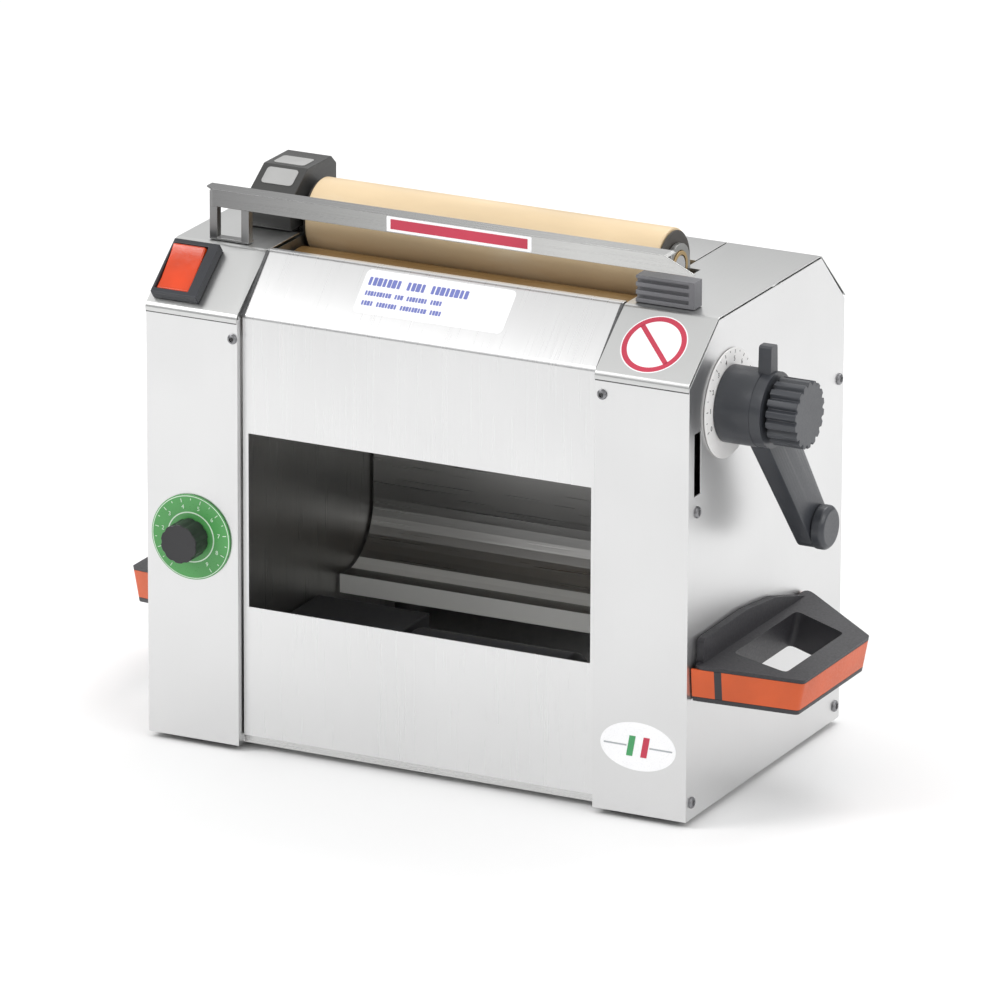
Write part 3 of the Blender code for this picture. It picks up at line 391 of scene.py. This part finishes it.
def button_head(bm, spot, outward, radius=0.0042, rise=0.0024):
    place = frame_on(spot, outward)
    turned_into(bm, place, [(0.0, 0.0), (radius, 0.0), (radius, rise * 0.35), (radius * 0.86, rise * 0.78),
                            (radius * 0.55, rise), (radius * 0.50, rise * 0.98), (radius * 0.42, rise * 0.45),
                            (0.0, rise * 0.40)], 24, 0)
    turned_into(bm, place, [(0.0, rise * 0.42), (radius * 0.40, rise * 0.47), (0.0, rise * 0.62)], 6, 1)


screws = (("column_front_screws", [((-0.1622, front_y, base_z + 0.3415), (0, -1, 0)),
                                   ((0.1645, front_y, base_z + 0.3430), (0, -1, 0))], 0.0042),
          ("side_screws_right", [((side_x, front_y + y, base_z + z), (1, 0, 0)) for y, z in
                                 ((0.277, 0.289), (0.277, 0.012), (0.010, 0.014), (0.0155, 0.253))], 0.0048),
          ("side_screws_left", [((-side_x, front_y + y, base_z + z), (-1, 0, 0)) for y, z in
                                ((0.277, 0.289), (0.277, 0.012), (0.010, 0.014), (0.010, 0.330))], 0.0048),
          ("cap_screws", [((x, front_y + y, cap_z), (0, 0, 1)) for x, y in
                          ((0.179, 0.205), (0.225, 0.225), (-0.179, 0.205), (-0.225, 0.225))], 0.0042),
          ("guard_screws", [((x, front_y + y, cap_z), (0, 0, 1)) for x, y in
                            ((-0.1725, 0.0610), (-0.1660, 0.0700))], 0.0042),
          ("plate_screws", [((x, front_y + 0.182, cap_z), (0, 0, 1)) for x in (0.166, -0.1655)], 0.0062),
          ("rear_panel_screws", [((x, rear_y, base_z + z), (0, 1, 0)) for x in (-0.225, -0.08, 0.08, 0.225)
                                 for z in (0.012, 0.335)], 0.0042),
          ("hood_screws", [((x, front_y + 0.212, cap_z), (0, 0, 1)) for x in (-0.145, 0.145)], 0.0042))
for name, spots, radius in screws:
    bm = bmesh.new()
    for spot, outward in spots:
        button_head(bm, spot, outward, radius)
    collected(name, bm, [screw_steel, socket_black])


# ------------------------------------------------------------------ bearing plates and slides
# Laser-cut 4 mm steel plates that carry everything that turns. The front roller's cast blocks
# slide in slots in them, with sintered bronze bushes pressed in.
plate_metal = brushed_metal("plate_metal", (0.40, 0.40, 0.39), 0.34, UPRIGHT, 1.5)
cast_metal = brushed_metal("cast_metal", (0.55, 0.56, 0.57), 0.48, (1.0, 1.0, 1.0), 1.2)
bronze = brushed_metal("sintered_bronze", (0.60, 0.43, 0.22), 0.42, (1.0, 1.0, 1.0))
for side in ("left", "right"):
    eased("bearing_plate_" + side, "bearing_plate_steel_" + side, plate_metal, 0.0003)
    eased("slide_block_" + side, "slide_block_casting_" + side, cast_metal, 0.0008)
    for end in ("front", "rear"):
        name = "bush_%s_%s" % (end, side)
        eased(name, name + "_bronze", bronze, 0.0003)


# ------------------------------------------------------------------ rollers
# Cream acetal resin turned on a steel shaft: satin, with faint turning marks. Flour pales the rear one;
# the front one is painted a dark golden brown as painted shade for the shadow it lies in, and a dark nylon
# washer closes each end.
def turned_resin(name, cream, pale):
    material = bpy.data.materials.new(name)
    tree, shader = nodes_of(material)
    marks = noise(tree, 1400.0, 2.0, (1.0, 0.01, 0.01))
    flour = noise(tree, 30.0, 4.0, (0.35, 1.0, 1.0))
    tree.links.new(ramp(tree, flour, (0.30, tint(cream, 0.92)), (0.55, cream), (0.75, pale)),
                   shader.inputs["Base Color"])
    tree.links.new(spread(tree, flour, 0.30, 0.44), shader.inputs["Roughness"])
    tree.links.new(bump(tree, marks, 0.12, 0.00005), shader.inputs["Normal"])
    shader.inputs["Subsurface Weight"].default_value = 0.03
    shader.inputs["Subsurface Radius"].default_value = (0.004, 0.003, 0.002)
    return material


# The front roller's dark golden brown is painted shade for the shadow under the guard.
roller_resins = {"rear": turned_resin("cream_resin", (0.72, 0.555, 0.345), (0.77, 0.64, 0.45)),
                 "front": turned_resin("shaded_cream_resin", (0.23, 0.130, 0.042), (0.31, 0.20, 0.085))}
ground_bar = brushed_metal("ground_bar", (0.66, 0.66, 0.67), 0.22, LENGTHWISE)
washer_nylon = bpy.data.materials.new("dark_nylon")
tree, shader = nodes_of(washer_nylon)
speck = noise(tree, 500.0)
tree.links.new(ramp(tree, speck, (0.3, (0.030, 0.026, 0.022)), (0.7, (0.060, 0.052, 0.045))),
               shader.inputs["Base Color"])
tree.links.new(spread(tree, speck, 0.42, 0.58), shader.inputs["Roughness"])


def axis_frame(node, x=0.0):
    """A frame on the middle of a round node lying along x, with its z along +x."""
    low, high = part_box(node)
    return frame_on((x, (low.y + high.y) / 2, (low.z + high.z) / 2), (1, 0, 0))


for end in ("front", "rear"):
    node, body = "roller_" + end, end + "_roller"
    low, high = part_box(node)
    half, radius, bore = high.x, (high.z - low.z) / 2, 0.0103
    bm = bmesh.new()
    arc = [(radius - 0.0015 + 0.0015 * math.sin(t), half - 0.0015 + 0.0015 * math.cos(t))
           for t in (math.pi * i / 12 for i in range(7))]
    ring = [(bore, half)] + arc + [(radius, half * f) for f in (0.66, 0.33, 0.0, -0.33, -0.66)]
    ring += [(r, -h) for r, h in reversed(arc)] + [(bore, -half), (bore, half)]
    turned_into(bm, axis_frame(node), ring, 128)
    bmesh.ops.remove_doubles(bm, verts=bm.verts, dist=0.000005)
    roller = collected("roller_%s_turned" % end, bm, [roller_resins[end]], body)
    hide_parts(node)
    bm = bmesh.new()
    for start in (half + 0.0004, -half - 0.0024):
        rim = [(bore, start), (0.0285, start), (0.0292, start + 0.0006), (0.0292, start + 0.0014),
               (0.0285, start + 0.0020), (bore, start + 0.0020), (bore, start)]
        turned_into(bm, axis_frame(node), rim, 64)
    bmesh.ops.remove_doubles(bm, verts=bm.verts, dist=0.000005)
    collected("roller_%s_washers" % end, bm, [washer_nylon], body)
    eased("shaft_" + end, "shaft_%s_bar" % end, ground_bar, 0.0005)


# ------------------------------------------------------------------ gears, chain and motor
# Deep-toothed steel gears join the rollers, a chain brings the drive up from a gear motor lying in
# the base. Machined steel with a film of oil; die-cast motor and gear case painted near-black as painted
# shade for the dark base seen below the chute.
oiled_steel = brushed_metal("oiled_steel", (0.36, 0.35, 0.34), 0.30, (1.0, 1.0, 1.0), 1.5)
for node in ("roller_gear_front", "roller_gear_rear", "sprocket_drive", "sprocket_driven", "drive_chain",
             "cam_left", "cam_right"):
    eased(node, node + "_machined", oiled_steel, 0.0003)
# Near-black painted shade on the motor and gear case.
motor_painted_shade = brushed_metal("motor_painted_shade", (0.045, 0.046, 0.050), 0.42, (1.0, 1.0, 1.0), 1.3)
motor_painted_shade.node_tree.nodes["Principled BSDF"].inputs["Metallic"].default_value = 0.0
for node in ("motor", "gear_case"):
    eased(node, node + "_casting", motor_painted_shade, 0.0015)
eased("motor_shaft", "motor_shaft_bar", ground_bar, 0.0005)


# ------------------------------------------------------------------ scrapers
# Off-white polyethylene blades that lie against the rollers' undersides, each on a round
# stainless rod held between the bearing plates.
def moulded(name, colour, roughness, grain=700.0, depth=0.00008, cloud=0.10):
    """Moulded plastic: fine sparked texture, slow changes of shade and sheen."""
    material = bpy.data.materials.new(name)
    tree, shader = nodes_of(material)
    fine, slow = noise(tree, grain, 3.0), noise(tree, 22.0, 3.0)
    tree.links.new(ramp(tree, slow, (0.32, tint(colour, 1.0 - cloud)), (0.68, tint(colour, 1.0 + cloud))),
                   shader.inputs["Base Color"])
    tree.links.new(spread(tree, fine, roughness - 0.06, roughness + 0.06), shader.inputs["Roughness"])
    tree.links.new(bump(tree, fine, 0.35, depth), shader.inputs["Normal"])
    return material


scraper_plastic = moulded("scraper_polyethylene", (0.86, 0.85, 0.79), 0.42)
for end in ("front", "rear"):
    eased("scraper_" + end, "scraper_%s_blade" % end, scraper_plastic, 0.0003)
    eased("scraper_%s_rod" % end, "scraper_%s_bar" % end, ground_bar, 0.0003)


# ------------------------------------------------------------------ thickness lever
# Moulded anthracite nylon: a drum-shaped hub with a pointer tab, a flat cranked arm and a round
# grip, clamped by a coarse fluted knob. A white printed scale disc lies behind it on the panel.
anthracite = moulded("anthracite_nylon", (0.041, 0.044, 0.051), 0.34, 600.0, 0.00010)
lever_frame = axis_frame("lever_shaft")
eased("thickness_lever", "thickness_lever_moulding", anthracite, 0.0012, 3)
eased("lever_grip", "lever_grip_moulding", anthracite, 0.0012, 3)
eased("lock_knob", "lock_knob_moulding", anthracite, 0.0006, 2)
eased("lever_shaft", "lever_shaft_bar", ground_bar, 0.0005)
scale_white = moulded("printed_white", (0.88, 0.87, 0.86), 0.35, 900.0, 0.00002, 0.02)
eased("scale_disc", "scale_disc_plate", scale_white, 0.0003)


def numeral_into(bm, place, text, size, index):
    """Numerals from the built-in typeface, raised a film's thickness off a surface."""
    curve = bpy.data.curves.new("numeral", "FONT")
    curve.body, curve.size, curve.align_x, curve.align_y = text, size, "CENTER", "CENTER"
    curve.extrude, curve.resolution_u = 0.00008, 3
    carrier = bpy.data.objects.new("numeral", curve)
    mesh = bpy.data.meshes.new_from_object(carrier)
    known = set(bm.verts)
    bm.from_mesh(mesh)
    fresh = [v for v in bm.verts if v not in known]
    bmesh.ops.transform(bm, matrix=place, verts=fresh)
    for face in {f for v in fresh for f in v.link_faces}:
        face.material_index = index
    bpy.data.objects.remove(carrier)
    bpy.data.curves.remove(curve)
    bpy.data.meshes.remove(mesh)


def printed(bm, place, outline, index, low=0.0, high=0.00015):
    """A flat patch: an outline in a frame's own plane, given a film's thickness."""
    floor_ring = [bm.verts.new(place @ Vector((x, y, low))) for x, y in outline]
    roof_ring = [bm.verts.new(place @ Vector((x, y, high))) for x, y in outline]
    faces = [bm.faces.new(roof_ring), bm.faces.new(list(reversed(floor_ring)))]
    for i in range(len(outline)):
        j = (i + 1) % len(outline)
        faces.append(bm.faces.new((floor_ring[i], floor_ring[j], roof_ring[j], roof_ring[i])))
    for face in faces:
        face.material_index = index


def dial_marks(bm, place, radius, first, last, count, size, index, long_tick=0.0040):
    """Ticks and numbers round part of a dial, read clockwise from the first angle."""
    for i in range(2 * count - 1):
        angle = math.radians(first + (last - first) * i / (2 * count - 2))
        turn = place @ Matrix.Rotation(angle, 4, "Z")
        reach = long_tick if i % 2 == 0 else long_tick * 0.5
        tick = [(radius - reach, -0.0003), (radius, -0.0003), (radius, 0.0003), (radius - reach, 0.0003)]
        printed(bm, turn, tick, index)
        if i % 2 == 0:
            spot = place @ Matrix.Translation((math.cos(angle) * (radius - long_tick - size * 0.75),
                                               math.sin(angle) * (radius - long_tick - size * 0.75), 0.00008))
            numeral_into(bm, spot, str(i // 2), size, index)


disc_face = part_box("scale_disc")[1].x
scale_ink = moulded("scale_ink", (0.03, 0.03, 0.035), 0.4, 900.0, 0.00002)
bm = bmesh.new()
face_place = frame_on((disc_face, lever_frame.translation.y, lever_frame.translation.z), (1, 0, 0))
dial_marks(bm, face_place, 0.0425, 200.0, -20.0, 10, 0.0058, 0, 0.0028)
collected("scale_disc_marks", bm, [scale_ink])


# ------------------------------------------------------------------ printed labels
# Vinyl labels stuck to the sheet: a notice on the front slope, a no-hands ring on the right slope,
# an oval badge low on the right column and a red band along the guard. None carries any words.
def rounded_patch(width, height, radius, centre=(0.0, 0.0), steps=6):
    points = []
    for quarter, (sx, sy) in enumerate(((1, 1), (-1, 1), (-1, -1), (1, -1))):
        for i in range(steps + 1):
            angle = math.radians(90 * quarter + 90 * i / steps)
            points.append((centre[0] + sx * (width / 2 - radius) + radius * math.cos(angle),
                           centre[1] + sy * (height / 2 - radius) + radius * math.sin(angle)))
    return points


def flat_ring(inner, outer, low, high):
    """The section of a printed ring, closed on itself."""
    return [(inner, low), (outer, low), (outer, high), (inner, high), (inner, low)]


label_white = moulded("label_white", (0.93, 0.93, 0.94), 0.30, 900.0, 0.00002, 0.02)
label_blue = moulded("label_blue", (0.16, 0.19, 0.50), 0.35, 900.0, 0.00002, 0.06)
label_red = moulded("label_red", (0.53, 0.035, 0.075), 0.35, 900.0, 0.00002, 0.06)
label_green = moulded("label_green", (0.06, 0.33, 0.12), 0.35, 900.0, 0.00002, 0.06)
label_grey = moulded("label_grey", (0.40, 0.42, 0.44), 0.35, 900.0, 0.00002, 0.06)
INK = 0.00015

slope_foot, slope_head = row(0, 0.007, 0.360), row(0, 0.0515, 0.4025)
slope_up = (slope_head - slope_foot).normalized()
slope_out = Vector((0.0, -slope_up.z, slope_up.y))
notice = frame_on(slope_foot + slope_up * 0.038, slope_out, slope_up)
bm = bmesh.new()
printed(bm, notice, rounded_patch(0.132, 0.040, 0.0045), 0)
strokes = ((0.0095, 0.0075, (7, 1, 4, 1, 8), 0.0042), (-0.0015, 0.0042, (9, 1, 3, 1, 7, 1, 4), 0.0026),
           (-0.0105, 0.0042, (4, 1, 7, 1, 9, 1, 4), 0.0026))
for height, tall, words, pitch in strokes:
    across = -0.060
    for count in words:
        if count == 1:
            across += pitch * 1.1
            continue
        for letter in range(count):
            narrow = 0.62 + 0.14 * ((letter * 7 + count * 3) % 3)
            bar = rounded_patch(pitch * narrow, tall, pitch * 0.12, (across, height), 1)
            printed(bm, notice, bar, 1, INK, 2 * INK)
            across += pitch
collected("notice_label", bm, [label_white, label_blue])

cap_foot, cap_head = row(0, -0.0012, 0.3606), row(0, 0.0515, 0.4020)
cap_up = (cap_head - cap_foot).normalized()
cap_out = Vector((0.0, -cap_up.z, cap_up.y))
hands = frame_on(cap_foot + cap_up * 0.0335 + Vector((0.197, 0, 0)), cap_out, cap_up)
bm = bmesh.new()
turned_into(bm, hands, [(0.0, INK), (0.0275, INK), (0.0275, 0.0), (0.0, 0.0)][::-1], 72, 0)
turned_into(bm, hands, flat_ring(0.0222, 0.0265, INK, 2 * INK), 72, 1)
slash = hands @ Matrix.Rotation(math.radians(-45.0), 4, "Z")
printed(bm, slash, rounded_patch(0.0455, 0.0040, 0.0003), 1, INK, 2 * INK)
bmesh.ops.remove_doubles(bm, verts=bm.verts, dist=0.000002)
collected("no_hands_label", bm, [label_white, label_red])

badge = frame_on(row(0.198, 0.0, 0.057), (0, -1, 0))
bm = bmesh.new()
oval = [(0.033 * math.cos(t), 0.020 * math.sin(t)) for t in (2 * math.pi * i / 64 for i in range(64))]
printed(bm, badge, oval, 0)
for centre in (-0.020, 0.020):
    printed(bm, badge, rounded_patch(0.020, 0.0013, 0.0004, (centre, 0.0)), 4, INK, 2 * INK)
for centre, index in ((-0.0062, 3), (0.0062, 2)):
    leaf = [(centre - 0.0042, -0.0085), (centre + 0.0012, -0.0085), (centre + 0.0042, 0.0085),
            (centre - 0.0012, 0.0085)]
    printed(bm, badge, leaf, index, INK, 2 * INK)
badge_films = [label_white, label_blue, label_red, label_green, label_grey]
collected("oval_badge", bm, badge_films)

plate = frame_on(Vector((0.150, rear_y, base_z + 0.245)), (0, 1, 0))
bm = bmesh.new()
printed(bm, plate, rounded_patch(0.080, 0.046, 0.002), 0, 0.0, 0.0006)
for line, length in enumerate((0.062, 0.048, 0.066, 0.040, 0.056)):
    bar = rounded_patch(length, 0.0028, 0.0005, (-0.034 + length / 2, 0.0155 - 0.0078 * line))
    printed(bm, plate, bar, 1, 0.0006, 0.0008)
collected("rating_plate", bm, [sheet_lengthwise, label_grey])

strip_low, strip_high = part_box("guard_strip")
band = frame_on((0.011, strip_low.y, (strip_low.z + strip_high.z) / 2), (0, -1, 0))
bm = bmesh.new()
printed(bm, band, rounded_patch(0.128, 0.0125, 0.0008), 0)
printed(bm, band, rounded_patch(0.121, 0.0082, 0.0004), 1, INK, 2 * INK)
collected("guard_band_label", bm, [label_white, label_red])


# ------------------------------------------------------------------ rocker switch
# A power rocker in the slope of the left column: black bezel, and a translucent orange rocker
# with a faint painted glow that brightens it.
bezel_black = moulded("bezel_black", (0.022, 0.024, 0.030), 0.35, 900.0, 0.00004)
eased("switch_collar", "switch_collar_bezel", bezel_black, 0.0012, 3)
rocker_lens = moulded("orange_lens", (0.60, 0.044, 0.004), 0.18, 300.0, 0.00004, 0.18)
rocker_shader = rocker_lens.node_tree.nodes["Principled BSDF"]
# The emission is a painted glow, not a lamp.
rocker_shader.inputs["Emission Color"].default_value = (1.0, 0.14, 0.01, 1.0)
rocker_shader.inputs["Emission Strength"].default_value = 0.06
eased("switch_rocker", "switch_rocker_lens", rocker_lens, 0.0012, 3)


# ------------------------------------------------------------------ speed dial
# A printed green plate with a pale scale ring, and a black fluted push-on knob on the stem of the
# potentiometer that is fixed behind the column front.
dial_green = moulded("dial_green", (0.080, 0.32, 0.088), 0.32, 900.0, 0.00002, 0.05)
eased("dial_plate", "dial_plate_print", dial_green, 0.0003)
dial_low, dial_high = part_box("dial_plate")
dial_face = frame_on(((dial_low.x + dial_high.x) / 2, dial_low.y, (dial_low.z + dial_high.z) / 2), (0, -1, 0))
dial_ink = moulded("dial_ink", (0.62, 0.78, 0.62), 0.4, 900.0, 0.00002)
bm = bmesh.new()
dial_marks(bm, dial_face, 0.0325, 235.0, -55.0, 10, 0.0050, 0, 0.0032)
for inner, outer in ((0.0202, 0.0212), (0.0340, 0.0347)):
    turned_into(bm, dial_face, flat_ring(inner, outer, 0.0, 0.00015), 64)
bmesh.ops.remove_doubles(bm, verts=bm.verts, dist=0.000002)
collected("dial_plate_marks", bm, [dial_ink])
knob_black = moulded("knob_black", (0.020, 0.020, 0.022), 0.38, 800.0, 0.00006)
eased("speed_knob", "speed_knob_moulding", knob_black, 0.0008, 3)
eased("speed_potentiometer", "speed_potentiometer_can", cast_metal, 0.0003)


# ------------------------------------------------------------------ guard supports and gear cover
# The guard strip stands on a two-legged steel bracket on the left and a grooved grey moulding on
# the right. A black moulded housing covers the gear that rises out of the left cap.
bracket_metal = brushed_metal("bracket_metal", (0.24, 0.24, 0.24), 0.38, UPRIGHT)
eased("guard_bracket_left", "guard_bracket_steel", bracket_metal, 0.0006)
block_grey = moulded("grooved_grey", (0.14, 0.14, 0.15), 0.45)
eased("guard_block_right", "guard_block_moulding", block_grey, 0.0005)
cover_black = moulded("cover_black", (0.035, 0.035, 0.034), 0.40)
eased("gear_cover", "gear_cover_moulding", cover_black, 0.0012, 3)
cover_low, cover_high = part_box("gear_cover")
lid_grey = moulded("lid_grey", (0.36, 0.36, 0.355), 0.45, 800.0, 0.00004)
bm = bmesh.new()
lid = frame_on(((cover_low.x + cover_high.x) / 2, row(0, 0.1535, 0).y, cover_high.z), (0, 0, 1), (0, 1, 0))
printed(bm, lid, rounded_patch(0.0280, 0.0200, 0.0030, (0.0, -0.0065)), 0, 0.0, 0.0006)
nose = row(0, 0.1035, 0.4280), row(0, 0.1330, 0.4475)
lean = (nose[1] - nose[0]).normalized()
fall = frame_on((nose[0] + nose[1]) / 2 + lean * 0.004 + Vector(((cover_low.x + cover_high.x) / 2, 0, 0)),
                (0.0, -lean.z, lean.y), lean)
printed(bm, fall, rounded_patch(0.0280, 0.0170, 0.0030, (0.0, 0.0015)), 0, 0.0, 0.0006)
collected("gear_cover_inlay", bm, [lid_grey])


# ------------------------------------------------------------------ carrying handles
# A glass-filled black nylon loop on each side with a soft orange band let into its outside.
handle_black = moulded("handle_black", (0.026, 0.025, 0.029), 0.48, 500.0, 0.00012)
handle_orange = moulded("handle_orange", (0.60, 0.090, 0.015), 0.42, 500.0, 0.00008)
DIVIDER = (0.0165, 0.0215)      # black break in the band, out from the side panel
for side in ("left", "right"):
    eased("handle_body_" + side, "handle_loop_" + side, handle_black, 0.0014, 3)
    grip = eased("handle_band_" + side, "handle_grip_" + side, handle_orange, 0.0)
    grip.data.materials.append(handle_black)
    bm = bmesh.new()
    bm.from_mesh(grip.data)
    for reach in DIVIDER:
        x = math.copysign(side_x + reach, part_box("handle_band_" + side)[0].x)
        whole = bm.verts[:] + bm.edges[:] + bm.faces[:]
        bmesh.ops.bisect_plane(bm, geom=whole, plane_co=(x, 0, 0), plane_no=(1, 0, 0))
    for face in bm.faces:
        if DIVIDER[0] < abs(face.calc_center_median().x) - side_x < DIVIDER[1]:
            face.material_index = 1
    bm.to_mesh(grip.data)
    bm.free()


# ------------------------------------------------------------------ feet and cable gland
# Four short rubber feet screwed under the tray, and a nylon gland on the rear for the supply cord.
foot_rubber = moulded("foot_rubber", (0.025, 0.025, 0.025), 0.80)
for corner in ("front_left", "front_right", "rear_left", "rear_right"):
    eased("foot_" + corner, "foot_rubber_" + corner, foot_rubber, 0.0008)
eased("cable_gland", "cable_gland_nylon", bezel_black, 0.0006)
